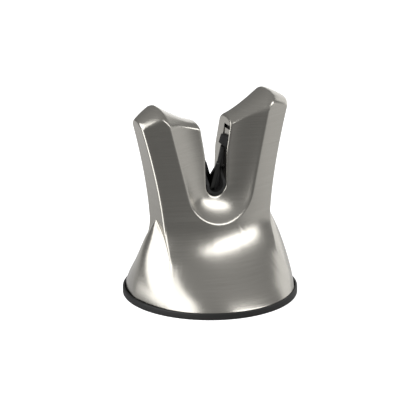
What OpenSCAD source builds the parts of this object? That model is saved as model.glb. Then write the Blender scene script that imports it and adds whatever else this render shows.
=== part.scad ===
// Worktop knife sharpener: a cast metal fork that runs down into a round skirt, with two crossed
// carbide cutters in its notch and a rubber suction foot that grips when the body is pressed down.
// Millimetres, +Z up. The origin is where the middle of the foot meets the worktop; -Y is the front.

/* [Foot] */
// Outer radius of the rubber foot
foot_r = 30; // [28:0.5:33]
// Height of the rubber ring that shows under the skirt
ring_h = 2.4; // [2.2:0.1:3.2]
// Thickness of the rubber wall round the skirt's edge
ring_wall = 0.7; // [0.6:0.1:1.1]
// Rubber left under the skirt's edge
groove_floor = 0.6; // [0.4:0.1:0.9]
// Height of the hollow under the cup
dome_h = 3; // [2:0.1:3.2]
// Thickness of the cup's web
web_t = 1.4; // [1:0.1:2]
// Radius of the boss in the middle of the cup
cup_boss_r = 8; // [7:0.5:10]
// Height of the top of that boss above the worktop
cup_boss_h = 6.5; // [6.4:0.1:8]
// How far the body sinks when it is pressed down
press_travel = 1.5; // [0.8:0.1:1.6]

/* [Skirt] */
// Wall thickness of the casting
wall = 2.2; // [1.8:0.1:2.8]
// Height of the waist, where the skirt's nose sets out from each side face
waist_z = 29.6; // [29:0.1:30.5]
// Half the width between the side faces at their narrowest
side_half = 20.35; // [19.8:0.05:20.9]
// Height of that narrowest place
side_z = 23.6; // [22.5:0.1:25]
// Half the depth of the front and back sheets at the waist
sheet_y_waist = 10.4; // [9.6:0.1:11.5]
// Half the depth of the side faces at the waist
side_y_waist = 5.6; // [5:0.1:6.2]
// How much shallower than the sheets the skirt's nose is at the waist
nose_cut = 8.5; // [7.5:0.1:9]
// Height at which the crease beside the nose starts to fade
crease_z = 19.6; // [18.5:0.1:21]
// Height of the top of the hollow inside the skirt
hollow_z = 23.8; // [23:0.1:24.5]

/* [Arms] */
// Height at which the arms' top width and depth are taken
tip_z = 65; // [62:0.5:68]
// Half the width across both arms at that height
tip_half = 28.25; // [26.5:0.05:29.5]
// Half the depth of the sheets at that height
sheet_y_tip = 9.55; // [8.8:0.05:10.4]
// Half the depth of the side faces at that height
side_y_tip = 4; // [3.5:0.1:4.8]
// Height of the roof peaks
peak_z = 71.1; // [70:0.1:73]
// Distance of the roof peaks from the middle
peak_x = 20.9; // [19:0.1:22.5]
// Height of the roof at the notch
roof_in_z = 63.3; // [62.8:0.1:65]
// Height of the roof at the outer ends
roof_out_z = 67; // [65:0.1:69]
// Depth from the middle at which the roof has fallen by as much, at the notch
crown_in = 7.1; // [6:0.1:9]
// The same at the peaks
crown_peak = 9.8; // [8.5:0.1:12]
// The same at the outer ends
crown_out = 5.2; // [4.5:0.1:6.5]

/* [Notch] */
// Radius of the slot's round bottom
slot_r = 3.77; // [3.5:0.01:4.2]
// Height of the centre of that round bottom
slot_z = 40.3; // [39:0.1:42]
// Half the width of the slot where it starts to open
neck_half = 4.08; // [3.9:0.02:4.4]
// Height at which the slot starts to open
neck_z = 51.5; // [50:0.5:52]
// Half the width of the slot at its mouth
mouth_half = 5.84; // [5.2:0.02:6.4]
// Height of the mouth
mouth_z = 62.1; // [61:0.1:63]
// Half the length of the slot at its bottom, front to back
slot_y_low = 5; // [4.6:0.1:5.4]
// Half the length of the slot at its mouth, front to back
slot_y_top = 4.45; // [4.2:0.05:4.8]
// Radius of the U-shaped ridge round the scoop
ridge_r = 12.55; // [11.8:0.05:13.2]
// Lean of the ridge's straight legs, in degrees
ridge_lean = 13.7; // [11:0.1:15]

/* [Holders] */
// Height at which the two cutting edges cross
cross_z = 42.3; // [41.5:0.1:43]
// Lean of each cutting edge from upright, in degrees
edge_lean = 16; // [13:0.5:18]
// Thickness of each holder plate, front to back
plate_t = 2.6; // [2.2:0.1:2.8]
// Wall of the trough that lines the slot's bottom
liner_t = 1; // [0.8:0.05:1.2]
// Height of the tops of the trough's limbs
liner_z = 46; // [44:0.5:48]
// Depth of the snap finger's pocket in the arm
pocket_d = 2.6; // [2.2:0.1:3]
// Front-to-back reach of the pocket from the middle
pocket_y = 4.2; // [3.8:0.1:4.4]
// Height of the pocket's floor
pocket_z = 52.3; // [52.1:0.1:53]
// Height of the underside of the bar across the pocket
bar_z = 57; // [56.5:0.1:57.5]
// Height of the bar itself
bar_h = 2.1; // [1.8:0.1:2.4]
// Thickness of the bar
bar_t = 1.1; // [0.9:0.1:1.3]
// Height of the window left above the bar
window_h = 1.5; // [1.3:0.1:1.7]
// How far the finger's thumb ramp stands proud of the slot's wall
ramp = 0.9; // [0.5:0.1:1.1]

/* [Cutters] */
// Length of each carbide cutter
cutter_len = 10; // [9:0.5:11]
// Width of each carbide cutter
cutter_w = 1.6; // [1.4:0.1:2]
// How far each cutter stands proud of its holder's edge
cutter_proud = 0.2; // [0.1:0.05:0.3]

/* [Base] */
// Thickness of the base plate
plate_h = 2.2; // [1.8:0.1:3]
// Radius of the stud's shank
stud_r = 2.5; // [2:0.1:3]
// Radius of the stud's moulded-in head
stud_head_r = 5.5; // [5:0.1:6.2]
// Rubber left under the stud's head
stud_cover = 0.9; // [0.7:0.1:1.1]
// Thickness of the stud's head
stud_head_h = 1.1; // [0.9:0.1:1.3]
// Height of the hub round the stud on the base plate
hub_h = 2.4; // [2:0.1:4]
// Radius of that hub
hub_r = 6.5; // [6:0.1:8]
// Thickness of the washer on the hub
washer_h = 1; // [0.8:0.1:1.4]
// Height of the nut
nut_h = 4; // [3.2:0.1:5]
// Width of the nut across its flats
nut_w = 8; // [7:0.5:9]
// Number of base screws
screw_count = 3; // [2:1:4]
// Radius of the base screws' shanks
screw_r = 1.5; // [1.2:0.1:1.7]
// Length of the base screws under the head
screw_len = 8; // [6:0.5:10]
// Radius of the screws' heads
head_r = 2.8; // [2.4:0.1:3]
// Height of the screws' heads
head_h = 1.6; // [1.3:0.1:1.9]
// Radius of the cast bosses that the base screws go into
boss_r = 3.2; // [2.9:0.1:3.6]
// Radius of the keel under the trough
keel_r = 2.5; // [2.3:0.1:2.8]
// Length of that keel
keel_len = 6; // [5:0.5:7]
// Metal between the end of the keel and the trough screw's washer
keel_seat = 2.6; // [2:0.1:3.2]

/* [Hidden] */
// Clearance between pieces that fit together
fit = 0.1;
// Clearance round the skirt's edge in the rubber groove
rubber_fit = 0.1;
// Overrun of every cut past the face that it opens
over = 1;
// Chamfer on small edges
chamfer = 0.3;
// Bows of the skirt's sides, of the arms' side faces, and of the roof inside and outside its peaks
skirt_bow_share = 1.92;
arm_bow_share = 1.51;
roof_bow_share = 1.34;
hip_bow_share = 1.3;
// Flare of the sheets into the skirt: how late it starts, and how fast it spreads
flare_start_share = 1.3;
flare_spread_share = 2.2;
// How late the nose narrows towards the waist
nose_bow_share = 2.65;
// Depth of the crease on the skirt, as a share of the sheets' depth
crease_share = 0.66;
// How far the scoop's cut runs past the ridge and into the slot
scoop_over_share = 0.08;
// Counts of rings and of points along the curved faces
levels = 40;
side_steps = 6;
front_steps = 9;
roof_steps = 6;
hip_steps = 3;
crown_steps = 12;
scoop_steps = 10;
profile_steps = 16;
$fn = 96;

skirt_z = groove_floor + press_travel;
skirt_edge_r = foot_r - ring_wall - rubber_fit;
top_z = max(peak_z, roof_in_z, roof_out_z) + over;
plate_z = cup_boss_h + fit;
plate_top = plate_z + plate_h;
hub_top = plate_top + hub_h;
waist_half = side_x(waist_z);
holder_low = slot_z - slot_r + liner_t + 2 * fit;
keel_low = slot_z - slot_r - keel_len;
seat_z = keel_low - keel_seat;
window_z = bar_z + bar_h + window_h;

// Value a share of the way from one to another
function mix(a, b, t) = a + (b - a) * t;

// How far a height lies from the skirt's edge to the waist, and from the waist to the arms' tips
function climb(z) = min(max(z - skirt_z, 0) / (waist_z - skirt_z), 1);
function rise(z) = max((z - waist_z) / (tip_z - waist_z), 0);

// Distance of the arms' flat side faces from the middle
function side_x(z) = side_half + (tip_half - side_half)
    * pow(max((z - side_z) / (tip_z - side_z), 0), arm_bow_share);

// Half width of the skirt, whose plan is an ellipse that turns into a circle at its edge
function skirt_half(z) = skirt_edge_r - (skirt_edge_r - waist_half) * pow(climb(z), skirt_bow_share);

// Half depth of the front sheet on the middle plane, flared into the skirt
function front_y(z) = mix(sheet_y_waist, sheet_y_tip, rise(z)) + (skirt_edge_r - sheet_y_waist)
    * pow(1 - pow(climb(z), flare_start_share), flare_spread_share);

// How far the arm's own shape has taken over from the skirt's ellipse, as a share
function blade(z) = let (w = min(max((z - crease_z) / (waist_z - crease_z), 0), 1)) w * w * (3 - 2 * w);

// Half depth of the nose, which narrows towards the waist
function nose_y(z) = front_y(z)
    - nose_cut * pow(max(z - crease_z, 0) / (waist_z - crease_z), nose_bow_share);

// Half depth of the crease between the side and the front
function crease(z) = mix(crease_share * front_y(z), mix(side_y_waist, side_y_tip, rise(z)), blade(z));

// Distance of the side from the middle at a height and depth: the nose, or the arm's flat face
function nose_x(z, y) = skirt_half(z) * sqrt(max(1 - pow(y / nose_y(z), 2), 0));
function flank_x(z, y) = z > waist_z ? side_x(z) : max(side_x(z), nose_x(z, y));

// Half depth of the sheet at a distance from the middle: an ellipse low down, an arc on the arms
function sheet_y(x, z) = let (
    f = front_y(z),
    c = crease(z),
    half = flank_x(z, c),
    full = half / sqrt(1 - pow(c / f, 2)),
    r = (half * half + pow(f - c, 2)) / (2 * (f - c)))
    mix(f * sqrt(max(1 - pow(x / full, 2), 0)), f - r + sqrt(max(r * r - x * x, 0)), blade(z));

// Half width of the slot at a height over its round bottom
function slot_x(z) = z < neck_z
    ? mix(slot_r, neck_half, (z - slot_z) / (neck_z - slot_z))
    : mix(neck_half, mouth_half, (z - neck_z) / (mouth_z - neck_z));

// Half length of the slot, front to back
function slot_y(z) = mix(slot_y_low, slot_y_top, max(z - slot_z, 0) / (mouth_z - slot_z));

// Height of the crowned roof at a distance and a depth from the middle
function inside_share(x) = max(x - mouth_half, 0) / (peak_x - mouth_half);
function outside_share(x) = (x - peak_x) / (tip_half - peak_x);
function crest(x) = x < peak_x
    ? mix(roof_in_z, peak_z, pow(inside_share(x), roof_bow_share))
    : mix(peak_z, roof_out_z, pow(outside_share(x), hip_bow_share));
function crown(x) = x < peak_x
    ? mix(crown_in, crown_peak, inside_share(x))
    : mix(crown_peak, crown_out, outside_share(x));
function roof_z(x, y) = crest(x) - pow(abs(y), 3) / pow(crown(x), 2);

// Radius of the hollow inside the skirt
function cavity_r(z) = front_y(z) - wall;

// Distance of a holder's edge from the middle
function edge_x(z) = (z - cross_z) * tan(edge_lean);

// A solid that runs through equal rings of points, with each end closed round its middle
function middle(ring) = [for (k = [0 : 2]) [for (p = ring) p[k]] * [for (p = ring) 1] / len(ring)];
function skin_faces(rings, n) = concat(
    [for (j = [0 : n - 1]) [rings * n, j, (j + 1) % n]],
    [for (i = [0 : rings - 2], j = [0 : n - 1]) each [
        [i * n + j, (i + 1) * n + j, (i + 1) * n + (j + 1) % n],
        [i * n + j, (i + 1) * n + (j + 1) % n, i * n + (j + 1) % n]]],
    [for (j = [0 : n - 1]) [rings * n + 1, (rings - 1) * n + (j + 1) % n, (rings - 1) * n + j]]);
module skin(rings) {
    last = len(rings) - 1;
    points = concat([for (ring = rings) each ring], [middle(rings[0]), middle(rings[last])]);
    polyhedron(points, skin_faces(last + 1, len(rings[0])), convexity = 8);
}

// One quarter of the body's plan at a height, from the side round to the middle of the back
function quarter(z) = concat(
    [for (j = [0 : side_steps]) let (y = crease(z) * j / side_steps) [flank_x(z, y), y]],
    [for (i = [1 : front_steps]) let (x = flank_x(z, crease(z)) * (1 - i / front_steps))
        [x, sheet_y(x, z)]]);
function plan(z) = let (q = quarter(z), m = len(q) - 1) concat(
    [for (k = [0 : m]) [q[k].x, q[k].y, z]],
    [for (k = [m - 1 : -1 : 0]) [-q[k].x, q[k].y, z]],
    [for (k = [1 : m]) [-q[k].x, -q[k].y, z]],
    [for (k = [m - 1 : -1 : 1]) [q[k].x, -q[k].y, z]]);

// The body's outside before the notch and the roof are cut
module blank() {
    skin([for (i = [0 : levels]) plan(mix(skirt_z, top_z, i / levels))]);
}

// Everything under the crowned roof of one arm
module under_roof() {
    far = tip_half + 2 * over;
    deep = sheet_y_waist + over;
    bow = [for (j = [0 : crown_steps]) mix(-deep, deep, j / crown_steps)];
    stops = concat([0],
        [for (i = [0 : roof_steps]) mix(mouth_half, peak_x, i / roof_steps)],
        [for (i = [1 : hip_steps]) mix(peak_x, tip_half, i / hip_steps)], [far]);
    skin([for (x = stops) concat(
        [[x, -deep, slot_z], [x, deep, slot_z]],
        [for (y = bow) [x, -y, max(roof_z(x, y), slot_z + over)]])]);
}

// Everything below the arms, and under both roofs above
module shell_outside() {
    intersection() {
        blank();
        union() {
            translate([-foot_r, -foot_r, 0]) cube([2 * foot_r, 2 * foot_r, slot_z + over]);
            under_roof();
            mirror([1, 0, 0]) under_roof();
        }
    }
}

// Outline of the slot, made larger or smaller all round by a margin
module slot_outline(grow, high) {
    translate([0, slot_z]) circle(slot_r + grow);
    polygon([
        [-slot_r - grow, slot_z],
        [slot_r + grow, slot_z],
        [slot_x(min(neck_z, high)) + grow, min(neck_z, high)],
        [slot_x(high) + grow, high],
        [-slot_x(high) - grow, high],
        [-slot_x(min(neck_z, high)) - grow, min(neck_z, high)]]);
}

// Stands a front-view outline up and runs it from one depth to another
module run_y(from, to) {
    translate([0, to, 0]) rotate([90, 0, 0]) linear_extrude(to - from) children();
}

// One station of the scoop's cut: a strip from the slot's rim over the ridge, run out to the front
function scoop_ring(rim, ridge) = let (
    in = rim - (ridge - rim) * scoop_over_share,
    out = ridge + (ridge - rim) * scoop_over_share,
    far = -foot_r)
    [in, out, [out.x, far, out.z], [in.x, far, in.z]];
function ridge_point(x, z) = [x, -sheet_y(abs(x), z), z];
function scoop_leg(z) = scoop_ring([slot_x(z), -slot_y(z), z],
    ridge_point(ridge_r / cos(ridge_lean) + (z - slot_z) * tan(ridge_lean), z));
function scoop_turn(a) = let (
    r = a < ridge_lean ? ridge_r / cos(ridge_lean - a) : ridge_r)
    scoop_ring([slot_r * cos(a), -slot_y_low, slot_z - slot_r * sin(a)],
        ridge_point(r * cos(a), slot_z - r * sin(a)));
module scoop() {
    right = concat(
        [for (i = [scoop_steps : -1 : 1]) scoop_leg(mix(slot_z, top_z, i / scoop_steps))],
        [for (i = [0 : scoop_steps]) scoop_turn(90 * i / scoop_steps)]);
    left = [for (i = [len(right) - 2 : -1 : 0]) [for (p = right[i]) [-p.x, p.y, p.z]]];
    skin(concat(right, left));
}

// Hollow inside the skirt, with the bosses for the base screws left standing in it
module cavity() {
    difference() {
        rotate_extrude() polygon(concat([[0, skirt_z - over], [cavity_r(skirt_z), skirt_z - over]],
            [for (i = [0 : profile_steps]) let (z = mix(skirt_z, hollow_z, i / profile_steps))
                [cavity_r(z), z]],
            [[0, hollow_z]]));
        at_screws() translate([0, 0, plate_top]) cylinder(h = hollow_z, r = boss_r);
    }
}

// Cores that keep the arms light, open to the hollow under them
module arm_core() {
    inner = neck_half + pocket_d + wall;
    outer = waist_half - wall;
    low = hollow_z - slot_r - wall;
    run_y(-slot_y_low + wall / 2, slot_y_low - wall / 2) polygon([
        [inner, low],
        [outer - wall / 2, low],
        [outer, waist_z],
        [side_x(pocket_z) - wall, pocket_z + wall],
        [inner + 2 * wall, pocket_z + wall],
        [inner, waist_z]]);
}

// Places for the base screws, evenly spaced from the back
module at_screws() {
    for (i = [0 : screw_count - 1]) {
        rotate(90 + 360 * i / screw_count)
            translate([cavity_r(plate_z + screw_len) - screw_r, 0, 0]) children();
    }
}

// Pocket, bar and window in the right arm for the front holder's snap finger
module finger_pocket() {
    deep = slot_x(window_z) + pocket_d;
    difference() {
        run_y(-pocket_y, 0) polygon([
            [0, pocket_z], [deep, pocket_z], [deep, window_z], [0, window_z]]);
        run_y(-pocket_y - over, over) polygon([
            [slot_x(bar_z), bar_z], [slot_x(bar_z) + bar_t, bar_z],
            [slot_x(bar_z + bar_h) + bar_t, bar_z + bar_h], [slot_x(bar_z + bar_h), bar_z + bar_h]]);
    }
}

// Zinc die casting with a satin nickel finish: fork, skirt, bosses and pockets in one piece
module cast_body() {
    color([0.66, 0.65, 0.63]) difference() {
        shell_outside();
        run_y(-foot_r, foot_r) slot_outline(0, top_z);
        scoop();
        mirror([0, 1, 0]) scoop();
        cavity();
        arm_core();
        mirror([1, 0, 0]) arm_core();
        finger_pocket();
        rotate(180) finger_pocket();
        at_screws() translate([0, 0, plate_top - over])
            cylinder(h = screw_len - plate_h + chamfer + over, r = screw_r + fit / 2);
        translate([0, 0, keel_low - fit]) cylinder(h = keel_len + slot_r, r = keel_r + fit);
        translate([0, 0, seat_z - over]) cylinder(h = slot_z - seat_z, r = screw_r + fit);
        translate([0, 0, hollow_z - over]) cylinder(h = seat_z - hollow_z + over, r = head_r + wall);
    }
}

// Black nylon trough that lines the slot's bottom, with a keel through the casting
module notch_liner() {
    color([0.1, 0.1, 0.1]) difference() {
        union() {
            run_y(-slot_y_low + fit, slot_y_low - fit) slot_outline(-fit, liner_z);
            translate([0, 0, keel_low]) cylinder(h = keel_len + liner_t, r = keel_r);
        }
        run_y(-foot_r, foot_r) slot_outline(-liner_t - fit, top_z);
        translate([0, 0, keel_low - over]) cylinder(h = keel_len + over, r = screw_r + fit / 2);
    }
}

// Front view of the right-hand holder plate, from its foot in the trough to its neck under the finger
module holder_outline() {
    high = pocket_z - 2 * fit;
    intersection() {
        polygon([
            [edge_x(holder_low), holder_low - over],
            [foot_r, holder_low - over],
            [foot_r, high],
            [edge_x(high), high]]);
        union() {
            slot_outline(-liner_t - 2 * fit, liner_z + 2 * fit);
            difference() {
                slot_outline(-fit, top_z);
                translate([-foot_r, 0]) square([2 * foot_r, liner_z + fit]);
            }
        }
    }
}

// Slanted seat of a cutter, along the holder's edge
module at_edge(z) {
    translate([edge_x(z), 0, z]) rotate([0, edge_lean, 0]) children();
}

// Black nylon holder: a wedge-shaped plate with a snap finger that hooks behind the bar in the arm
module holder() {
    tongue_x = slot_x(bar_z + bar_h) + bar_t + fit;
    difference() {
        union() {
            run_y(-plate_t - fit / 2, -fit / 2) holder_outline();
            run_y(-pocket_y + fit, -fit) polygon([
                [slot_x(pocket_z) - fit - ramp, pocket_z],
                [slot_x(pocket_z) + wall / 2, pocket_z],
                [slot_x(pocket_z) + wall / 2, pocket_z + fit],
                [tongue_x, pocket_z + fit],
                [tongue_x + pocket_d / 3, pocket_z + fit],
                [tongue_x + pocket_d / 3, window_z - fit],
                [tongue_x, window_z - fit],
                [tongue_x, bar_z - fit],
                [slot_x(bar_z) - fit, bar_z - fit],
                [slot_x(pocket_z) - fit - ramp, pocket_z + ramp]]);
            run_y(-plate_t - fit / 2, -fit / 2) polygon([
                [edge_x(pocket_z - over), pocket_z - over],
                [slot_x(pocket_z - over) - fit, pocket_z - over],
                [slot_x(pocket_z) - fit, pocket_z + over],
                [edge_x(pocket_z - over), pocket_z]]);
        }
        at_cutter() cutter_bar(fit / 2, over);
    }
}

// Carries a cutter's bar to its place along the front holder's edge. Its seat runs out at the foot.
module at_cutter() {
    at_edge(holder_low) children();
}
module cutter_bar(grow, run_out) {
    translate([-cutter_proud - grow, -plate_t - fit / 2, 2 * chamfer - grow - run_out])
        cube([cutter_w + 2 * grow, plate_t, cutter_len + 2 * grow + run_out]);
}

module front_holder() {
    color([0.14, 0.14, 0.14]) holder();
}
module rear_holder() {
    color([0.14, 0.14, 0.14]) rotate(180) holder();
}

// Tungsten carbide bars, ground to a keen edge where they cross
module front_cutter() {
    color([0.35, 0.35, 0.34]) at_cutter() cutter_bar(0, 0);
}
module rear_cutter() {
    color([0.35, 0.35, 0.34]) rotate(180) at_cutter() cutter_bar(0, 0);
}

// Pan-head screw that points up, with its head's underside at zero
module screw(length) {
    difference() {
        union() {
            translate([0, 0, -head_h]) cylinder(h = head_h / 2, r1 = head_r - chamfer, r2 = head_r);
            translate([0, 0, -head_h / 2]) cylinder(h = head_h / 2, r = head_r);
            cylinder(h = length - screw_r, r = screw_r);
            translate([0, 0, length - screw_r]) cylinder(h = screw_r, r1 = screw_r, r2 = screw_r / 3);
        }
        for (a = [0, 90]) {
            rotate(a) translate([-head_r / 2, -head_r / 8, -head_h - over])
                cube([head_r, head_r / 4, head_h * 2 / 3 + over]);
        }
    }
}

// Flat ring that stands on its underside
module flat_ring(bore, outside, high) {
    difference() {
        cylinder(h = high, r = outside);
        translate([0, 0, -over]) cylinder(h = high + 2 * over, r = bore);
    }
}

// Steel screw and washer that draw the trough down from inside the skirt
module liner_screw() {
    color([0.62, 0.62, 0.6]) translate([0, 0, seat_z - washer_h - fit / 2]) screw(keel_seat + keel_len);
}
module liner_washer() {
    color([0.7, 0.7, 0.68]) translate([0, 0, seat_z - washer_h])
        flat_ring(screw_r + fit, head_r + wall / 2, washer_h);
}

// Moulded base plate: it closes the skirt and carries the foot's stud in its hub
module base_plate() {
    color([0.2, 0.2, 0.2]) difference() {
        union() {
            translate([0, 0, plate_z]) cylinder(h = plate_h, r = cavity_r(plate_top) - fit * 2);
            translate([0, 0, plate_z]) cylinder(h = plate_h + hub_h, r = hub_r);
        }
        translate([0, 0, plate_z - over]) cylinder(h = plate_h + hub_h + 2 * over, r = stud_r + fit);
        at_screws() translate([0, 0, plate_z - over]) cylinder(h = plate_h + 2 * over, r = screw_r + fit);
    }
}
module base_screws() {
    color([0.62, 0.62, 0.6]) at_screws() translate([0, 0, plate_z]) screw(screw_len);
}

// Underside of the cup's hollow at a radius
function dome_z(r) = dome_h * (1 - pow(r / dome_r, 2));
dome_r = foot_r - ring_wall - wall;
stud_low = dome_h + stud_cover;

// Soft rubber foot: a shallow suction cup whose rim folds up round the skirt's edge
module suction_cup() {
    in_r = skirt_edge_r + rubber_fit;
    groove_r = cavity_r(skirt_z) - wall / 2;
    color([0.12, 0.12, 0.12]) difference() {
        rotate_extrude() polygon(concat(
            [for (i = [0 : profile_steps]) let (r = dome_r * i / profile_steps) [r, dome_z(r)]],
            [[foot_r - chamfer, 0], [foot_r, chamfer], [foot_r, ring_h - chamfer], [foot_r - chamfer, ring_h],
                [in_r + chamfer / 2, ring_h], [in_r, ring_h - chamfer / 2], [in_r, groove_floor],
                [groove_r, groove_floor]],
            [for (i = [0 : profile_steps]) let (r = mix(groove_r - wall / 2, cup_boss_r, i / profile_steps))
                [r, dome_z(r) + web_t]],
            [[cup_boss_r, cup_boss_h], [0, cup_boss_h]]));
        translate([0, 0, stud_low - fit / 2]) cylinder(h = stud_head_h + fit, r = stud_head_r + fit / 2);
        translate([0, 0, stud_low]) cylinder(h = cup_boss_h, r = stud_r + fit / 2);
    }
}

// Steel stud moulded into the cup, its washer and its nut
module cup_stud() {
    color([0.72, 0.72, 0.7]) union() {
        translate([0, 0, stud_low]) cylinder(h = stud_head_h, r = stud_head_r);
        translate([0, 0, stud_low])
            cylinder(h = hub_top + washer_h + nut_h + stud_r / 2 - stud_low, r = stud_r);
    }
}
module cup_washer() {
    color([0.7, 0.7, 0.68]) translate([0, 0, hub_top])
        flat_ring(stud_r + fit, hub_r - chamfer, washer_h);
}
module cup_nut() {
    color([0.66, 0.66, 0.64]) translate([0, 0, hub_top + washer_h]) difference() {
        cylinder(h = nut_h, r = nut_w / sqrt(3), $fn = 6);
        translate([0, 0, -over]) cylinder(h = nut_h + 2 * over, r = stud_r + fit / 2);
    }
}

cast_body();
notch_liner();
front_holder();
rear_holder();
front_cutter();
rear_cutter();
liner_screw();
liner_washer();
base_plate();
base_screws();
suction_cup();
cup_stud();
cup_washer();
cup_nut();
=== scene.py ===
import math

import bmesh
import bpy
from mathutils import Matrix, Vector


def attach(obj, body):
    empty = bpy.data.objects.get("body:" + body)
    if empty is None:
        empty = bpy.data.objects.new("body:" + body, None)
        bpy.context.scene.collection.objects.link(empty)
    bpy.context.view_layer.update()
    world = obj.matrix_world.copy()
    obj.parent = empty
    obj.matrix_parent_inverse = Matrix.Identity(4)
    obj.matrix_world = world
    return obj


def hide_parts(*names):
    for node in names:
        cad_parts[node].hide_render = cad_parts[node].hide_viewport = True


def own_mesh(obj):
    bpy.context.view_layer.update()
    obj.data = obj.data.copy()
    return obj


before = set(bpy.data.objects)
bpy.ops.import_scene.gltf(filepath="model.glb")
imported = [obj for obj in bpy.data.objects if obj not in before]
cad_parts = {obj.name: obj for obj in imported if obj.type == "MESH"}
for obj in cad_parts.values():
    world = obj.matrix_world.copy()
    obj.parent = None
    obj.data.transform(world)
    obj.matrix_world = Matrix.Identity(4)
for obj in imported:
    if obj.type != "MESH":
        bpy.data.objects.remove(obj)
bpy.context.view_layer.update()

# The camera. The photograph shows no perspective, so the camera is orthographic. It looks down from
# the front left, and its scale is the foot's 60 mm across 174 pixels.
MM = 0.001
photo_pixels = 420
pixels_per_mm = 2.9073
camera_azimuth = math.radians(-26.72)
camera_elevation = math.radians(19.92)
camera_target = Vector((0, 0, 29.57)) * MM
camera_distance = 400 * MM


def direction(azimuth, elevation):
    """Unit vector towards a place, seen from the part: azimuth 0 is the front."""
    return Vector((math.sin(azimuth) * math.cos(elevation), -math.cos(azimuth) * math.cos(elevation),
                   math.sin(elevation)))


def place(name, data, where, towards):
    """Adds a camera or lamp at a point, looking along a direction."""
    item = bpy.data.objects.new(name, data)
    item.location = where
    item.rotation_euler = towards.to_track_quat("-Z", "Y").to_euler()
    bpy.context.scene.collection.objects.link(item)
    return item


camera_data = bpy.data.cameras.new("camera")
camera_data.type = "ORTHO"
camera_data.ortho_scale = photo_pixels / pixels_per_mm * MM
sight = direction(camera_azimuth, camera_elevation)
bpy.context.scene.camera = place("camera", camera_data, camera_target + sight * camera_distance, -sight)


# The foot: a shallow suction cup of soft black rubber, moulded round the head of a steel stud. Its
# rim folds up round the skirt's edge. The real cup flattens when pressed down; it is drawn at rest.
foot_r = 30
ring_h = 2.4
ring_wall = 0.7
rubber_fit = 0.1
fit = 0.1
groove_floor = 0.6
dome_h = 3
web_t = 1.4
cup_boss_r = 8
cup_boss_h = 6.5
press_travel = 1.5
stud_r = 2.5
stud_head_r = 5.5
stud_head_h = 1.1
under_stud = 0.9
stud_low = dome_h + under_stud
wall = 2.2
dome_r = foot_r - ring_wall - wall
groove_in_r = 25.9
rim_soft = 0.5
sole_soft = 0.12
dome_steps = 16
web_steps = 12
lathe_steps = 144
weld = 0.001


def mix(a, b, t):
    return a + (b - a) * t


def paint(hex_colour):
    """An sRGB hex colour as linear values."""
    parts = [int(hex_colour[i:i + 2], 16) / 255 for i in (0, 2, 4)]
    return tuple(p / 12.92 if p <= 0.04045 else ((p + 0.055) / 1.055) ** 2.4 for p in parts) + (1,)


def new_material(name):
    material = bpy.data.materials.new(name)
    material.use_nodes = True
    material.node_tree.nodes.clear()
    return material, material.node_tree


def add(tree, kind, inputs=None, **settings):
    """Adds a node with its settings, and gives its inputs values or links."""
    node = tree.nodes.new(kind)
    for name, value in settings.items():
        setattr(node, name, value)
    for name, value in (inputs or {}).items():
        if isinstance(value, bpy.types.NodeSocket):
            tree.links.new(value, node.inputs[name])
        else:
            node.inputs[name].default_value = value
    return node


def new_piece(name, bm, material):
    """Makes an object at the origin from a finished bmesh in millimetres."""
    bmesh.ops.scale(bm, vec=(MM, MM, MM), verts=bm.verts)
    mesh = bpy.data.meshes.new(name)
    bm.to_mesh(mesh)
    bm.free()
    mesh.materials.append(material)
    piece = bpy.data.objects.new(name, mesh)
    bpy.context.scene.collection.objects.link(piece)
    return piece


def smooth_faces(piece, sharp_degrees=35):
    """Shades a piece smooth, apart from its sharp edges."""
    for face in piece.data.polygons:
        face.use_smooth = True
    piece.data.set_sharp_from_angle(angle=math.radians(sharp_degrees))


def lathe(outline):
    """Spins a closed outline of radius and height round the upright axis."""
    bm = bmesh.new()
    verts = [bm.verts.new((r, 0, z)) for r, z in outline]
    edges = [bm.edges.new(pair) for pair in zip(verts, verts[1:] + verts[:1])
             if max(v.co.x for v in pair) > 0]
    bmesh.ops.spin(bm, geom=verts + edges, axis=(0, 0, 1), angle=2 * math.pi, steps=lathe_steps,
                   use_merge=True)
    bmesh.ops.remove_doubles(bm, verts=bm.verts, dist=weld)
    bmesh.ops.dissolve_degenerate(bm, edges=bm.edges, dist=weld)
    bmesh.ops.recalc_face_normals(bm, faces=bm.faces)
    return bm


def corner_arc(r, z, radius, start, steps=4):
    """Points of a quarter turn round a centre, anticlockwise from a start angle in degrees."""
    return [(r + radius * math.cos(math.radians(start + 90 * i / steps)),
             z + radius * math.sin(math.radians(start + 90 * i / steps))) for i in range(steps + 1)]


# Black rubber with a satin bloom from a blasted mould: it softens every highlight. The real grain is
# about 0.05 mm, and is drawn coarser here so that it shows.
rubber_grain = 0.35
rubber_grain_depth = 0.03
bloom_size = 9
rubber, tree = new_material("moulded_black_rubber")
coords = add(tree, "ShaderNodeTexCoord").outputs["Object"]
grain = add(tree, "ShaderNodeTexNoise", {
    "Vector": coords, "Scale": 1 / (rubber_grain * MM), "Detail": 2})
bloom = add(tree, "ShaderNodeTexNoise", {
    "Vector": coords, "Scale": 1 / (bloom_size * MM), "Detail": 3})
shade = add(tree, "ShaderNodeMix", {
    "Factor": bloom.outputs["Fac"], "A": paint("121212"), "B": paint("1A1A19")}, data_type="RGBA")
dull = add(tree, "ShaderNodeMapRange", {"Value": bloom.outputs["Fac"], "To Min": 0.5, "To Max": 0.62})
bump = add(tree, "ShaderNodeBump", {
    "Height": grain.outputs["Fac"], "Strength": 0.25, "Distance": rubber_grain_depth * MM})
body = add(tree, "ShaderNodeBsdfPrincipled", {
    "Base Color": shade.outputs["Result"], "Roughness": dull.outputs["Result"], "IOR": 1.52,
    "Normal": bump.outputs["Normal"]})
add(tree, "ShaderNodeOutputMaterial", {"Surface": body.outputs["BSDF"]})


def dome_z(r):
    """Height of the hollow under the cup."""
    return dome_h * (1 - (r / dome_r) ** 2)


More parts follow.
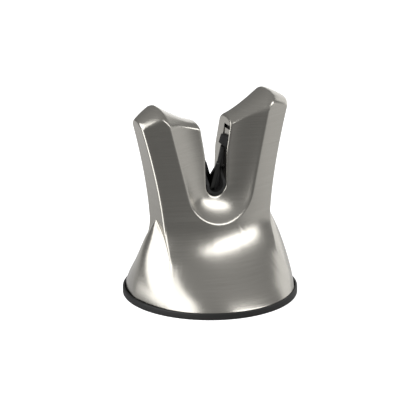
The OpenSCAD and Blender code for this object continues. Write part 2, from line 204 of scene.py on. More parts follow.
lip_r = foot_r - ring_wall
dome = [(dome_r * i / dome_steps, dome_z(dome_r * i / dome_steps)) for i in range(dome_steps + 1)]
web_radii = [mix(groove_in_r, cup_boss_r, i / web_steps) for i in range(web_steps + 1)]
web = [(r, dome_z(r) + web_t) for r in web_radii]
cup = new_piece("foot_cup", lathe(
    dome + corner_arc(foot_r - sole_soft, sole_soft, sole_soft, -90)
    + corner_arc(foot_r - rim_soft, ring_h - rim_soft, rim_soft, 0)
    + corner_arc(lip_r + sole_soft, ring_h - sole_soft, sole_soft, 90)
    + [(lip_r, groove_floor), (groove_in_r + wall / 2, groove_floor)] + web
    + [(cup_boss_r, cup_boss_h), (stud_r, cup_boss_h), (stud_r, stud_low + stud_head_h),
       (stud_head_r, stud_low + stud_head_h), (stud_head_r, stud_low), (0, stud_low)]), rubber)
smooth_faces(cup, sharp_degrees=40)
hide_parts("suction_cup")
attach(cup, "foot")
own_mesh(cup)


# The casting: a zinc die casting, ground, brushed and nickel plated. Two arms stand on a round
# flared skirt. Their outer faces are flat, their front and back sheets bow outwards, a scoop leads
# down to the notch, and each arm's roof is crowned and rises to a peak.
skirt_z = groove_floor + press_travel
skirt_edge_r = foot_r - ring_wall - rubber_fit
waist_z = 29.6
side_half = 20.35
side_z = 23.6
sheet_y_waist = 10.4
side_y_waist = 5.6
nose_cut = 8.5
crease_z = 19.6
crease_share = 0.66
hollow_z = 23.8
tip_z = 65
tip_half = 28.25
sheet_y_tip = 9.55
side_y_tip = 4
peak_z = 71.1
peak_x = 20.9
roof_in_z = 63.3
roof_out_z = 67
crown_in = 7.1
crown_peak = 9.8
crown_out = 5.2
scoop_dish = 0.8
cove_lift = 1.3
hollow_lines = (9, 16)
slot_r = 3.77
slot_z = 40.3
neck_half = 4.08
neck_z = 51.5
mouth_half = 5.84
mouth_z = 62.1
slot_y_low = 5
slot_y_top = 4.45
ridge_r = 12.55
ridge_lean = math.radians(13.7)

# How sharply each curve of the casting bends: the higher the power, the later and the sharper
side_power = 1.51
skirt_power = 1.92
flare_start = 1.3
flare_power = 2.2
nose_power = 2.65
crest_in_power = 1.34
crest_out_power = 1.3
crown_power = 3

# The mesh over the casting. A line runs close to each edge, and its distance sets how round that is
rim_round = 1.1
ridge_round = 0.9
crease_round = 1.5
eave_round = 1.6
arch_round = 0.5
edge_round = 0.25
arch_gap = 0.35
arch_gap_low = 3
arch_fade_z = 15
nose_middle = 2
slot_shares = (0, 0.3, 0.6)
scoop_lines = 6
front_lines = 10
side_lines = 3
leg_h = 26
leg_rows = 13
waist_rows = 6
fall_rows = 17
fall_power = 1.35
front_turns = 10
fade_rows = 12
ease_passes = 30
ease_power = 3
settle_steps = 30
mirror_weld = 0.002
seam_weld = 0.004
through_passes = 2
through_limit = 0.06


def climb(z):
    """How far up the skirt a height lies, from 0 to 1."""
    return min(max(z - skirt_z, 0) / (waist_z - skirt_z), 1)


def rise(z):
    """How far up the arms a height lies."""
    return max((z - waist_z) / (tip_z - waist_z), 0)


def side_x(z):
    """Distance of an arm's flat side face from the middle."""
    return side_half + (tip_half - side_half) * max((z - side_z) / (tip_z - side_z), 0) ** side_power


def skirt_half(z):
    """Half width of the skirt's ellipse."""
    return skirt_edge_r - (skirt_edge_r - side_x(waist_z)) * climb(z) ** skirt_power


def front_y(z):
    """Half depth of the sheet on the middle plane, flared into the skirt."""
    flare = (1 - climb(z) ** flare_start) ** flare_power
    return mix(sheet_y_waist, sheet_y_tip, rise(z)) + (skirt_edge_r - sheet_y_waist) * flare


def blade(z):
    """How far the arm's own shape has taken over from the skirt's ellipse."""
    w = min(max((z - crease_z) / (waist_z - crease_z), 0), 1)
    return w * w * (3 - 2 * w)


def nose_y(z):
    """Half depth of the skirt's nose, which narrows towards the waist."""
    return front_y(z) - nose_cut * (max(z - crease_z, 0) / (waist_z - crease_z)) ** nose_power


def crease(z):
    """Half depth of the crease between side and front."""
    return mix(crease_share * front_y(z), mix(side_y_waist, side_y_tip, rise(z)), blade(z))


def nose_x(z, y):
    """Distance of the skirt's nose from the middle."""
    return skirt_half(z) * math.sqrt(max(1 - (y / nose_y(z)) ** 2, 0))


def flank_x(z, y):
    """Distance of the side: the arm's flat face, or the nose where it stands out further."""
    return side_x(z) if z > waist_z else max(side_x(z), nose_x(z, y))


def sheet_y(x, z):
    """Half depth of the sheet: an ellipse low down, an arc on the arms, and a slight swell between."""
    f, c = front_y(z), crease(z)
    half = flank_x(z, c)
    full = half / math.sqrt(1 - (c / f) ** 2)
    r = (half * half + (f - c) ** 2) / (2 * (f - c))
    round_y = f * math.sqrt(max(1 - (x / full) ** 2, 0))
    s = min((x / half) ** 2, 1)
    bulge = (front_y(z - cove_lift) - f) * 4 * s * (1 - s) * blade(z)
    return mix(round_y, f - r + math.sqrt(max(r * r - x * x, 0)), blade(z)) + bulge


def slot_x(z):
    """Half width of the slot, which opens into the mouth."""
    if z < neck_z:
        return mix(slot_r, neck_half, (z - slot_z) / (neck_z - slot_z))
    return mix(neck_half, mouth_half, (z - neck_z) / (mouth_z - neck_z))


def slot_y(z):
    """Half depth of the slot's flat wall, out to its rim."""
    return mix(slot_y_low, slot_y_top, max(z - slot_z, 0) / (mouth_z - slot_z))


def ridge_x(z):
    """Distance of the ridge between the scoop and the sheet from the middle."""
    return ridge_r / math.cos(ridge_lean) + (z - slot_z) * math.tan(ridge_lean)


def arch_y(z):
    """Half depth of the nose's edge, or of the mesh line that carries it on down."""
    if z >= waist_z:
        return 0
    leg = nose_y(z) * math.sqrt(1 - (side_x(z) / skirt_half(z)) ** 2)
    low = min(max((arch_fade_z - z) / (arch_fade_z - skirt_z), 0), 1)
    return min(leg, crease(z) - mix(arch_gap, arch_gap_low, low))


def spread(width, near, far, count):
    """Shares across a face, with a line close to each end that keeps its edge tight."""
    near, far = near / width, far / width
    return [0] + [mix(near, 1 - far, i / (count - 1)) for i in range(count)] + [1]


def lines(zone, z):
    """Where the mesh lines cross a face at a height, as shares of its width."""
    if zone == "slot":
        tight = mix(rim_round, eave_round, max(z - neck_z, 0) / tip_z)
        return [*slot_shares, 1 - tight / slot_y(z), 1]
    if zone == "scoop":
        return spread(ridge_x(z) - slot_x(z), rim_round, ridge_round, scoop_lines)
    if zone == "front":
        return spread(side_x(z) - ridge_x(z), ridge_round, crease_round, front_lines)
    width = crease(z) - arch_y(z)
    tight = min(width / side_y_tip, 1)
    return spread(width, crease_round * tight, arch_round * tight, side_lines)


def dished(rim, ridge, share):
    """A point of the scoop, which sags a little between its rim and its ridge."""
    return rim.lerp(ridge, share) + Vector((0, scoop_dish * 4 * share * (1 - share), 0))


def arm_point(zone, k, z):
    """A point of one arm at a height, on the k-th line of a face."""
    share = lines(zone, z)[k]
    if zone == "slot":
        return Vector((slot_x(z), -slot_y(z) * share, z))
    if zone == "scoop":
        rim = Vector((slot_x(z), -slot_y(z), z))
        return dished(rim, Vector((ridge_x(z), -sheet_y(ridge_x(z), z), z)), share)
    if zone == "front":
        x = mix(ridge_x(z), side_x(z), share)
        return Vector((x, -sheet_y(x, z), z))
    y = mix(crease(z), arch_y(z), share)
    return Vector((flank_x(z, y), -y, z))


def roof_z(x, y):
    """Height of an arm's crowned roof."""
    if x < peak_x:
        t = max(x - mouth_half, 0) / (peak_x - mouth_half)
        crest, crown = mix(roof_in_z, peak_z, t ** crest_in_power), mix(crown_in, crown_peak, t)
    else:
        t = (x - peak_x) / (tip_half - peak_x)
        crest, crown = mix(peak_z, roof_out_z, t ** crest_out_power), mix(crown_peak, crown_out, t)
    return crest - abs(y) ** crown_power / crown ** (crown_power - 1)


def eave(zone, k):
    """Where a line of an arm's face meets the roof."""
    z = tip_z
    for _ in range(settle_steps):
        point = arm_point(zone, k, z)
        z = roof_z(point.x, point.y)
    return arm_point(zone, k, z)


def patch(bm, rows):
    """A grid of faces laid over rows of points."""
    made = bmesh.ops.create_grid(bm, x_segments=len(rows[0]) - 1, y_segments=len(rows) - 1, size=1)
    for vertex, point in zip(made["verts"], [p for row in rows for p in row]):
        vertex.co = point


zones = ("slot", "scoop", "front", "side")
columns = [(zone, k) for zone in zones for k in range(len(lines(zone, tip_z))) if zone == "slot" or k]
rim_col = columns.index(("scoop", 1)) - 1
ridge_col = columns.index(("front", 1)) - 1
crease_col = columns.index(("side", 1)) - 1

# Legs of the fork, from the eaves down to the middle of the slot's round bottom
tops = [eave(*column) for column in columns]
leg_falls = [0] + [mix(eave_round / leg_h, 1, i / leg_rows) for i in range(leg_rows + 1)]
legs = [[arm_point(*column, mix(top.z, slot_z, t)) for column, top in zip(columns, tops)]
        for t in leg_falls]

# Roof, from the front eave back to the crest
roof_cols = range(rim_col, crease_col + 1)
roof = [[tops[j] for j in roof_cols]]
roof_lines = lines("slot", tip_z)
for k in range(1, len(roof_lines)):
    share = roof_lines[-1 - k]
    row = []
    for j in roof_cols:
        zone = columns[j][0]
        s = 0 if zone == "slot" else lines(zone, tip_z)[columns[j][1]]
        kink = (peak_x - tops[ridge_col].x) * (1 - share ** crown_power)
        if zone == "front":
            x = tops[j].x + mix(kink, tops[crease_col + k].x - tops[crease_col].x, s)
        else:
            x = tops[j].x + mix(tops[rim_col - k].x - tops[rim_col].x, kink, s)
        y = tops[j].y * share
        row.append(Vector((x, y, roof_z(x, y))))
    row[0] = tops[rim_col - k]
    row[-1] = tops[crease_col + k]
    roof.append(row)

# Round the slot's bottom: the crease and the skirt's edge run on as the ridge turns under it
edge_line = 1 - edge_round / (waist_z - skirt_z)
falls = [(i / fall_rows) ** fall_power for i in range(1, fall_rows)] + [edge_line, 1]
outer_z = [mix(slot_z, waist_z, i / waist_rows) for i in range(waist_rows + 1)]
outer_z += [mix(waist_z, skirt_z, f) for f in falls]
corner = math.atan2(crease(skirt_z), flank_x(skirt_z, crease(skirt_z)))
outer = [Vector((flank_x(z, crease(z)), -crease(z), z)) for z in outer_z]
for i in range(1, front_turns + 1):
    angle = mix(corner, math.pi / 2, i / front_turns)
    outer.append(Vector((skirt_edge_r * math.cos(angle), -skirt_edge_r * math.sin(angle), skirt_z)))

# The rows aim at an eased copy of the edge, so that its corner doesn't show in the highlights
goals = outer
for _ in range(ease_passes):
    eased = [(a + 2 * b + c) / 4 for a, b, c in zip(goals, goals[1:], goals[2:])]
    goals = [outer[0], *eased, outer[-1]]
inner_rows = []
front_rows = []
for i, edge in enumerate(outer):
    angle = math.pi / 2 * i / (len(outer) - 1)
    r = ridge_r / math.cos(max(ridge_lean - angle, 0))
    x, z = r * math.cos(angle), slot_z - r * math.sin(angle)
    ridge = Vector((x, -sheet_y(x, z), z))
    rim = Vector((slot_r * math.cos(angle), -slot_y_low, slot_z - slot_r * math.sin(angle)))
    inner_rows.append([Vector((rim.x, rim.y * s, rim.z)) for s in lines("slot", slot_z)]
                      + [dished(rim, ridge, s) for s in lines("scoop", slot_z)[1:]])
    row = []
    # The edge is tight round the skirt and soft up at the crease, and one fades into the other
    tight = mix(edge_round, crease_round, min(max(len(outer_z) - 1 - i, 0) / fade_rows, 1))
    for s in spread(math.hypot(ridge.x - edge.x, ridge.z - edge.z), ridge_round, tight, front_lines):
        goal = goals[i].lerp(edge, s ** ease_power)
        x, z = mix(ridge.x, goal.x, s), mix(ridge.z, goal.z, s)
        row.append(Vector((x, -sheet_y(x, z), z)))
    row[-1] = edge
    front_rows.append(row)

# Side of the skirt: the flat face beside the arch, and the nose under it
side_rows = [[arm_point("side", k, z) for k in range(side_lines + 2)] for z in outer_z]
nose_rows = []
for z in outer_z:
    if z <= waist_z:
        leg = arch_y(z)
        third = leg / 3
        shares = spread(max(leg, edge_round), min(third, arch_round), min(third, nose_middle), side_lines)
        nose_rows.append([Vector((flank_x(z, leg * (1 - s)), -leg * (1 - s), z)) for s in shares])

bm = bmesh.new()
for rows in (legs, roof, inner_rows, front_rows, side_rows, nose_rows):
    patch(bm, rows)
for axis in "XY":
    bmesh.ops.mirror(bm, geom=bm.verts[:] + bm.edges[:] + bm.faces[:], axis=axis, merge_dist=mirror_weld)
bmesh.ops.remove_doubles(bm, verts=bm.verts, dist=seam_weld)


def inward(edges, radius, height):
    """Runs an open round edge on to another radius and height."""
    made = bmesh.ops.extrude_edge_only(bm, edges=edges)["geom"]
    for v in [g for g in made if isinstance(g, bmesh.types.BMVert)]:
        flat = Vector((v.co.x, v.co.y)).normalized() * radius
        v.co = Vector((flat.x, flat.y, height))
    return [g for g in made if isinstance(g, bmesh.types.BMEdge)]


edges = [e for e in bm.edges if e.is_boundary]
edges = inward(edges, skirt_edge_r - edge_round, skirt_z)
edges = inward(edges, front_y(skirt_z) - wall, skirt_z)
for z in (skirt_z + edge_round, *hollow_lines, hollow_z - edge_round, hollow_z):
    edges = inward(edges, front_y(z) - wall, z)
edges = inward(edges, front_y(hollow_z) - 2 * wall, hollow_z)
bmesh.ops.holes_fill(bm, edges=edges, sides=0)
bmesh.ops.recalc_face_normals(bm, faces=bm.faces)
if bm.calc_volume(signed=True) < 0:
    bmesh.ops.reverse_faces(bm, faces=bm.faces)

# Satin nickel over a die casting, brushed round the body with a fine belt: a warm grey metal whose
# highlights spread up and down across the brush lines. The real lines are about 0.05 mm apart, and are
# drawn wider here so that they show.
brush_pitch = 0.22
brush_length = 16
brush_depth = 0.02
nickel, tree = new_material("brushed_nickel")
coords = add(tree, "ShaderNodeTexCoord").outputs["Object"]
stretch = add(tree, "ShaderNodeMapping", {
    "Vector": coords,
    "Scale": (1 / (brush_length * MM), 1 / (brush_length * MM), 1 / (brush_pitch * MM))})
strokes = add(tree, "ShaderNodeTexNoise", {
    "Vector": stretch.outputs["Vector"], "Scale": 1, "Detail": 3, "Roughness": 0.6})
rough = add(tree, "ShaderNodeMapRange", {
    "Value": strokes.outputs["Fac"], "From Min": 0.3, "From Max": 0.7, "To Min": 0.24, "To Max": 0.27})
shade = add(tree, "ShaderNodeMix", {
    "Factor": strokes.outputs["Fac"], "A": paint("ABA8A1"), "B": paint("BFBCB5")}, data_type="RGBA")
round_the_part = add(tree, "ShaderNodeTangent", direction_type="RADIAL", axis="Z")
bump = add(tree, "ShaderNodeBump", {
    "Height": strokes.outputs["Fac"], "Strength": 0.006, "Distance": brush_depth * MM})
metal = add(tree, "ShaderNodeBsdfPrincipled", {
    "Base Color": shade.outputs["Result"], "Metallic": 1, "Roughness": rough.outputs["Result"],
    "Normal": bump.outputs["Normal"], "Anisotropic": 0.2, "Anisotropic Rotation": 0.25,
    "Tangent": round_the_part.outputs["Tangent"]})
add(tree, "ShaderNodeOutputMaterial", {"Surface": metal.outputs["BSDF"]})


def bake_modifiers(piece):
    """Keeps a piece's shape as its modifiers leave it."""
    graph = bpy.context.evaluated_depsgraph_get()
    done = bpy.data.meshes.new_from_object(piece.evaluated_get(graph))
    piece.modifiers.clear()
    piece.data = done


def through_points(piece, passes, limit):
    """Eases a cage outwards until its smooth faces pass through its points. Edges stay rounded."""
    wanted = [v.co.copy() for v in piece.data.vertices]
    for _ in range(passes):
        smoothed = piece.evaluated_get(bpy.context.evaluated_depsgraph_get()).data.vertices
        moves = [target - smoothed[i].co for i, target in enumerate(wanted)]
        for v, move in zip(piece.data.vertices, moves):
            if move.length < limit:
                v.co += move
        piece.data.update()
        bpy.context.view_layer.update()


casting = new_piece("casting", bm, nickel)
smooth = casting.modifiers.new("smooth", "SUBSURF")
smooth.levels = 2
smooth.render_levels = 2
through_points(casting, through_passes, through_limit * MM)
bake_modifiers(casting)

# Pocket for a snap finger in each arm: it passes behind a bar that the casting keeps across it
pocket_d = 2.6
pocket_y = 4.2
pocket_z = 52.3
bar_z = 57
bar_h = 2.1
bar_t = 1.1
bar_sink = 0.3
window_h = 1.5
bar_top = bar_z + bar_h
window_z = bar_top + window_h
pocket_deep = slot_x(window_z) + pocket_d


def run_y(outline, front, back):
    """Extrudes a front-view outline from one depth to another."""
    bm = bmesh.new()
    face = bm.faces.new([bm.verts.new((x, front, z)) for x, z in outline])
    made = bmesh.ops.extrude_face_region(bm, geom=[face])["geom"]
    bmesh.ops.translate(bm, vec=(0, back - front, 0),
                        verts=[g for g in made if isinstance(g, bmesh.types.BMVert)])
    bmesh.ops.recalc_face_normals(bm, faces=bm.faces)
    return bm


def turn_round(bm, angle):
    """Turns a shape about the part's upright axis."""
    bmesh.ops.rotate(bm, cent=(0, 0, 0), matrix=Matrix.Rotation(angle, 3, "Z"), verts=bm.verts)


def cut(piece, bm, operation="DIFFERENCE"):
    """Cuts a closed shape out of a piece, or joins it on."""
    tool = new_piece("tool", bm, piece.data.materials[0])
    modifier = piece.modifiers.new("cut", "BOOLEAN")
    modifier.operation = operation
    modifier.object = tool
    bake_modifiers(piece)
    bpy.data.objects.remove(tool)


for turn in (0, math.pi):
    bm = run_y([
        (0, pocket_z), (pocket_deep, pocket_z), (pocket_deep, window_z), (0, window_z), (0, bar_top),
        (slot_x(bar_top) + bar_t, bar_top), (slot_x(bar_z) + bar_t, bar_z), (0, bar_z)], -pocket_y, 0)
    turn_round(bm, turn)
    cut(casting, bm)
    bm = run_y([
        (0, bar_z - bar_sink), (slot_x(bar_z) + bar_sink, bar_z - bar_sink),
        (slot_x(bar_top) + bar_sink, bar_top + bar_sink), (0, bar_top + bar_sink)], -pocket_y, 0)
    turn_round(bm, turn)
    cut(casting, bm)
smooth_faces(casting)
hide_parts("cast_body")
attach(casting, "sharpener")


# The trough: a black nylon lining, moulded to the slot's round bottom and drawn down by a screw. Its
# limbs stand highest in the middle and slope down to both ends.
liner_mid_z = 45.2
liner_end_z = 40.8
liner_mid_y = 1.1
moulded_edge = 0.12

# Nylon leaves the mould with a fine grain: a dull black whose sheen breaks up close to. The grain is
# drawn coarser than the real 0.1 mm, so that it shows.
nylon_grain = 0.4
nylon_grain_depth = 0.03
nylon, tree = new_material("moulded_black_nylon")
coords = add(tree, "ShaderNodeTexCoord").outputs["Object"]
grain = add(tree, "ShaderNodeTexNoise", {
    "Vector": coords, "Scale": 1 / (nylon_grain * MM), "Detail": 3, "Roughness": 0.6})
shade = add(tree, "ShaderNodeMix", {
    "Factor": grain.outputs["Fac"], "A": paint("171717"), "B": paint("202020")}, data_type="RGBA")
dull = add(tree, "ShaderNodeMapRange", {"Value": grain.outputs["Fac"], "To Min": 0.6, "To Max": 0.75})
bump = add(tree, "ShaderNodeBump", {
    "Height": grain.outputs["Fac"], "Strength": 0.3, "Distance": nylon_grain_depth * MM})
body = add(tree, "ShaderNodeBsdfPrincipled", {
    "Base Color": shade.outputs["Result"], "Roughness": dull.outputs["Result"], "IOR": 1.53,
    "Normal": bump.outputs["Normal"]})
add(tree, "ShaderNodeOutputMaterial", {"Surface": body.outputs["BSDF"]})


def copied(node):
    """A welded copy of a node's mesh, in millimetres."""
    bm = bmesh.new()
    bm.from_mesh(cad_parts[node].data)
    bmesh.ops.scale(bm, vec=(1 / MM, 1 / MM, 1 / MM), verts=bm.verts)
    bmesh.ops.remove_doubles(bm, verts=bm.verts, dist=weld)
    return bm


trough = new_piece("trough", copied("notch_liner"), nylon)
for turn in (math.pi / 2, -math.pi / 2):
    bm = run_y([
        (liner_mid_y, liner_mid_z), (slot_y_low, liner_end_z), (slot_y_low + wall, liner_end_z),
        (slot_y_low + wall, mouth_z), (0, mouth_z), (0, liner_mid_z)], -slot_y_low, slot_y_low)
    turn_round(bm, turn)
    cut(trough, bm)
smooth_faces(trough)
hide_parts("notch_liner")
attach(trough, "sharpener")


# The holders: two alike nylon wedges, one in front of the other, turned half round. Each carries a
# cutter along its slanted edge, and its snap finger hooks behind the bar in its arm.
plate_t = 2.6
plate_top = 52.9
cross_z = 42.3
edge_lean = math.radians(16)
liner_t = 1
liner_z = 46
holder_r = slot_r - liner_t - 2 * fit
holder_low = slot_z - holder_r
cutter_w = 1.6
cutter_len = 10
cutter_proud = 0.2
back_z = 42.9
back_bevel = 1.3
back_full_z = 45.6
thumb_z = 53.4
thumb_low = 1.2
thumb_high = 0.85
tongue_t = pocket_d / 3
foot_steps = 12
flat_angle = math.radians(1)
sharp_angle = math.radians(30)


def edge_x(z):
    """Where the front holder's slanted edge runs."""
    return (z - cross_z) * math.tan(edge_lean)


def seat(along, across):
    """A point by its distance up the slanted edge and its distance in from it."""
    return (edge_x(holder_low) + along * math.sin(edge_lean) + across * math.cos(edge_lean),
            holder_low + along * math.cos(edge_lean) - across * math.sin(edge_lean))


def clear_back(bm, proud):
    """Cuts a slanted edge away on the side towards the middle, above the crossing."""
    for v in bm.verts:
        behind = v.co.y > -plate_t / 2 and v.co.z > back_z + fit
        if behind and v.co.x < edge_x(v.co.z) - proud + fit:
            v.co.x = min(v.co.x + back_bevel, slot_x(v.co.z) - 2 * fit)


def soften(bm, width):
    """Rounds the sharp edges of a moulded or ground shape."""
    bmesh.ops.dissolve_limit(bm, angle_limit=flat_angle, verts=bm.verts, edges=bm.edges)
    sharp = [e for e in bm.edges if e.is_manifold and e.calc_face_angle() > sharp_angle]
    bmesh.ops.bevel(bm, geom=sharp, offset=width, segments=2, profile=0.5, affect="EDGES", material=-1,
                    clamp_overlap=True)


seat_in = cutter_w - cutter_proud + fit / 2
foot_angle = math.asin(min((seat(0, seat_in)[0] + fit) / holder_r, 1)) - math.pi / 2
plate_outline = [
    seat(cutter_len + fit, seat_in), seat(cutter_len + fit, 0), (edge_x(plate_top), plate_top),
    (slot_x(plate_top) - fit, plate_top), (slot_x(neck_z) - fit, neck_z),
    (slot_x(liner_z) - fit, liner_z + 2 * fit), (holder_r, liner_z + 2 * fit)]
for i in range(foot_steps + 1):
    angle = foot_angle * i / foot_steps
    plate_outline.append((holder_r * math.cos(angle), slot_z + holder_r * math.sin(angle)))
tongue_x = slot_x(bar_top) + bar_t + fit
finger_outline = [
    (slot_x(thumb_z) - thumb_low, thumb_z + thumb_low / 2), (slot_x(thumb_z) - thumb_low / 2, thumb_z),
    (slot_x(thumb_z), thumb_z), (slot_x(pocket_z) - fit, pocket_z + fit),
    (tongue_x + tongue_t, pocket_z + fit), (tongue_x + tongue_t, window_z - fit),
    (tongue_x, window_z - fit), (tongue_x, bar_z - fit), (slot_x(bar_z) - thumb_high, bar_z - fit)]
for name, node, turn in (("front_wedge", "front_holder", 0), ("rear_wedge", "rear_holder", math.pi)):
    plate = run_y(plate_outline, -plate_t - fit / 2, -fit / 2)
    finger = run_y(finger_outline, -pocket_y + fit, -fit)
    # The rear holder isn't cut away, because that side of it is the one that shows
    if turn == 0:
        clear_back(plate, 0)
    for bm in (plate, finger):
        soften(bm, moulded_edge)
        turn_round(bm, turn)
    wedge = new_piece(name, plate, nylon)
    cut(wedge, finger, "UNION")
    smooth_faces(wedge)
    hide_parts(node)
    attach(wedge, "sharpener")


# The cutters: two bars of tungsten carbide, sintered and ground, pressed into the holders' edges. Only
# their slanted arrises catch the light.
arris = 0.16

# Ground carbide is a dark grey metal. The wheel's fine lines run across the bar and break its shine.
grind_pitch = 0.12
grind_length = 3
carbide, tree = new_material("ground_carbide")
coords = add(tree, "ShaderNodeTexCoord").outputs["Object"]
stretch = add(tree, "ShaderNodeMapping", {
    "Vector": coords,
    "Scale": (1 / (grind_length * MM), 1 / (grind_length * MM), 1 / (grind_pitch * MM))})
scratch = add(tree, "ShaderNodeTexNoise", {"Vector": stretch.outputs["Vector"], "Scale": 1, "Detail": 2})
shade = add(tree, "ShaderNodeMix", {
    "Factor": scratch.outputs["Fac"], "A": paint("3C3C3C"), "B": paint("4A4A48")}, data_type="RGBA")
dull = add(tree, "ShaderNodeMapRange", {"Value": scratch.outputs["Fac"], "To Min": 0.24, "To Max": 0.36})
body = add(tree, "ShaderNodeBsdfPrincipled", {
    "Base Color": shade.outputs["Result"], "Metallic": 1, "Roughness": dull.outputs["Result"]})
add(tree, "ShaderNodeOutputMaterial", {"Surface": body.outputs["BSDF"]})

low_end = 2 * moulded_edge
bends = [(z - holder_low) / math.cos(edge_lean) for z in (back_z, back_full_z)]
bar_outline = [seat(a, -cutter_proud) for a in (low_end, *bends, cutter_len)] + [
    seat(a, cutter_w - cutter_proud) for a in (cutter_len, low_end + liner_t)]
for name, node, turn in (("front_bar", "front_cutter", 0), ("rear_bar", "rear_cutter", math.pi)):
    bm = run_y(bar_outline, -plate_t - fit / 2, -fit / 2)
    if turn == 0:
        clear_back(bm, cutter_proud)
    soften(bm, arris)
    turn_round(bm, turn)
    bar = new_piece(name, bm, carbide)
    smooth_faces(bar, sharp_degrees=20)
    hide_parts(node)
    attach(bar, "sharpener")


# The base plate: a round of black ABS, injection moulded. It closes the skirt and carries the foot in
# its hub, and three screws hold it to the casting. Its drawn shape is kept.


def finish(material, nodes):
    """Gives a material to the pieces that keep their drawn shape."""
    for name in nodes:
        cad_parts[name].data.materials.clear()
        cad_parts[name].data.materials.append(material)


# Black ABS from a spark-eroded mould has an even, dull grain, and no clear highlight
spark_pitch = 0.6
spark_depth = 0.05
abs_black, tree = new_material("moulded_black_abs")
coords = add(tree, "ShaderNodeTexCoord").outputs["Object"]
grain = add(tree, "ShaderNodeTexNoise", {"Vector": coords, "Scale": 1 / (spark_pitch * MM), "Detail": 4})
shade = add(tree, "ShaderNodeMix", {
    "Factor": grain.outputs["Fac"], "A": paint("1E1E1E"), "B": paint("2A2A29")}, data_type="RGBA")
dull = add(tree, "ShaderNodeMapRange", {"Value": grain.outputs["Fac"], "To Min": 0.5, "To Max": 0.7})
bump = add(tree, "ShaderNodeBump", {
    "Height": grain.outputs["Fac"], "Strength": 0.4, "Distance": spark_depth * MM})
body = add(tree, "ShaderNodeBsdfPrincipled", {
    "Base Color": shade.outputs["Result"], "Roughness": dull.outputs["Result"], "IOR": 1.54,
    "Normal": bump.outputs["Normal"]})
add(tree, "ShaderNodeOutputMaterial", {"Surface": body.outputs["BSDF"]})
finish(abs_black, ["base_plate"])


# The fasteners: turned and pressed steel, bright zinc plated. A screw and washer hold the trough, three
# screws hold the base plate, and a stud, washer and nut hold the foot.

# Zinc plate is a bluish silver with faint cloudy patches from its rinse
cloud_size = 2.5
zinc, tree = new_material("zinc_plated_steel")
coords = add(tree, "ShaderNodeTexCoord").outputs["Object"]
clouds = add(tree, "ShaderNodeTexNoise", {
    "Vector": coords, "Scale": 1 / (cloud_size * MM), "Detail": 4})
shade = add(tree, "ShaderNodeMix", {
    "Factor": clouds.outputs["Fac"], "A": paint("A9ADB2"), "B": paint("C2C5C8")}, data_type="RGBA")
dull = add(tree, "ShaderNodeMapRange", {"Value": clouds.outputs["Fac"], "To Min": 0.25, "To Max": 0.45})
body = add(tree, "ShaderNodeBsdfPrincipled", {
    "Base Color": shade.outputs["Result"], "Metallic": 1, "Roughness": dull.outputs["Result"]})
add(tree, "ShaderNodeOutputMaterial", {"Surface": body.outputs["BSDF"]})
finish(zinc, ["liner_screw", "liner_washer", "base_screws", "cup_stud", "cup_washer", "cup_nut"])


# The studio: a white floor that the camera sees lit evenly and that glows behind the part, a dim room
# with a pale ceiling, and soft panels at the left, at the front right and behind the right.
floor_half = 3000
backdrop = 0.8
# The ramp and the pool are painted light: strengths of the emission that polished faces see in the floor
ramp_way = (0.7, 0.7, 0)
ramp_from = -90
ramp_to = 50
ramp_dim = 0.21
ramp_bright = 0.75
pool_squeeze = (0.3, 1, 1)
pool_middle = (-50, 8, 0)
pool_core = 20
pool_edge = 42
pool_bright = 4
walls = 0.24
ceiling = 0.4
lamp_height = 35
lamp_distance = 300

# White paper. The camera sees it even and lit. Polished faces see a painted reflection instead: emission
# that is dim at the front left, brighter to the right and the back, with one painted pool of light at the
# left.
white_paper, tree = new_material("white_paper_floor")
coords = add(tree, "ShaderNodeTexCoord").outputs["Object"]
away = add(tree, "ShaderNodeVectorMath", {0: coords, 1: ramp_way}, operation="DOT_PRODUCT")
# Painted light seen only in reflections: dim at the front left, brighter to the right and the back
painted_floor_light = add(tree, "ShaderNodeMapRange", {
    "Value": away.outputs["Value"], "From Min": ramp_from * MM, "From Max": ramp_to * MM,
    "To Min": ramp_dim, "To Max": ramp_bright})
long_pool = add(tree, "ShaderNodeMapping", {"Vector": coords, "Scale": pool_squeeze})
pool = add(tree, "ShaderNodeVectorMath", {
    0: long_pool.outputs["Vector"], 1: Vector(pool_middle) * MM}, operation="DISTANCE")
# A painted pool of light at the left, seen only in reflections
painted_pool_light = add(tree, "ShaderNodeMapRange", {
    "Value": pool.outputs["Value"], "From Min": pool_core * MM, "From Max": pool_edge * MM,
    "To Min": pool_bright, "To Max": 0})
brighter = add(tree, "ShaderNodeMath", {
    0: painted_floor_light.outputs["Result"], 1: painted_pool_light.outputs["Result"]}, operation="MAXIMUM")
# The painted reflection: emission that polished faces see in place of the lit paper
painted_reflection = add(tree, "ShaderNodeEmission", {
    "Color": (1, 1, 1, 1), "Strength": brighter.outputs["Value"]})
ray = add(tree, "ShaderNodeLightPath")
seen = add(tree, "ShaderNodeMath", {0: ray.outputs["Is Camera Ray"], 1: backdrop}, operation="MULTIPLY")
glow = add(tree, "ShaderNodeEmission", {"Color": (1, 1, 1, 1), "Strength": seen.outputs["Value"]})
matt = add(tree, "ShaderNodeBsdfDiffuse", {"Color": paint("F2F2F2")})
bright = add(tree, "ShaderNodeAddShader", {0: glow.outputs["Emission"], 1: matt.outputs["BSDF"]})
shiny = add(tree, "ShaderNodeMath", {
    0: ray.outputs["Is Glossy Ray"], 1: ray.outputs["Is Transmission Ray"]}, operation="MAXIMUM")
paper = add(tree, "ShaderNodeMixShader", {
    0: shiny.outputs["Value"], 1: bright.outputs["Shader"], 2: painted_reflection.outputs["Emission"]})
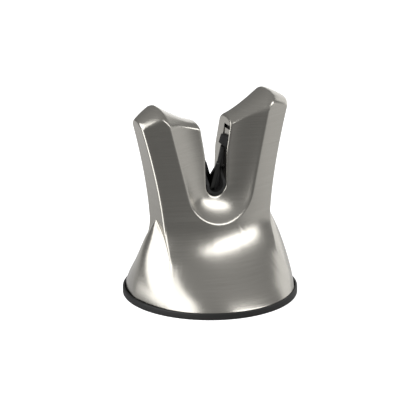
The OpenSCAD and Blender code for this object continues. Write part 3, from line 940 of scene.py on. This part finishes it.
add(tree, "ShaderNodeOutputMaterial", {"Surface": paper.outputs["Shader"]})
bm = bmesh.new()
bmesh.ops.create_grid(bm, x_segments=1, y_segments=1, size=floor_half)
floor = new_piece("floor", bm, white_paper)

# The room: dim walls under a paler ceiling, and plain white where the camera looks past the floor
world = bpy.data.worlds.new("studio")
bpy.context.scene.world = world
world.use_nodes = True
tree = world.node_tree
tree.nodes.clear()
ray = add(tree, "ShaderNodeLightPath")
upward = add(tree, "ShaderNodeSeparateXYZ", {
    "Vector": add(tree, "ShaderNodeTexCoord").outputs["Generated"]}).outputs["Z"]
room = add(tree, "ShaderNodeMapRange", {
    "Value": upward, "From Min": 0.1, "From Max": 0.9, "To Min": walls, "To Max": ceiling})
dim = add(tree, "ShaderNodeBackground", {"Color": (1, 1, 1, 1), "Strength": room.outputs["Result"]})
white = add(tree, "ShaderNodeBackground", {"Color": (1, 1, 1, 1), "Strength": 1})
both = add(tree, "ShaderNodeMixShader", {
    0: ray.outputs["Is Camera Ray"], 1: dim.outputs["Background"], 2: white.outputs["Background"]})
add(tree, "ShaderNodeOutputWorld", {"Surface": both.outputs["Shader"]})


def panel(name, azimuth, elevation, width, height, brightness, roll=0, shape="RECTANGLE"):
    """Adds a soft panel lamp that faces the part. Its sizes are angles seen from the part."""
    lamp = bpy.data.lights.new(name, "AREA")
    lamp.shape = shape
    lamp.size = 2 * lamp_distance * math.tan(math.radians(width / 2)) * MM
    lamp.size_y = 2 * lamp_distance * math.tan(math.radians(height / 2)) * MM
    lamp.energy = brightness * math.pi * lamp.size * lamp.size_y
    away = direction(math.radians(azimuth), math.radians(elevation))
    held = place(name, lamp, Vector((0, 0, lamp_height)) * MM + away * lamp_distance * MM, -away)
    held.rotation_euler.rotate_axis("Z", math.radians(roll))
    held.visible_camera = False


panel("left_panel", -77, 20, 60, 50, 2.6)
panel("front_right_panel", 34, 24, 52, 19, 3, roll=-38, shape="ELLIPSE")
panel("right_panel", 120, 8, 70, 40, 1)

view = bpy.context.scene.view_settings
view.view_transform = "Standard"
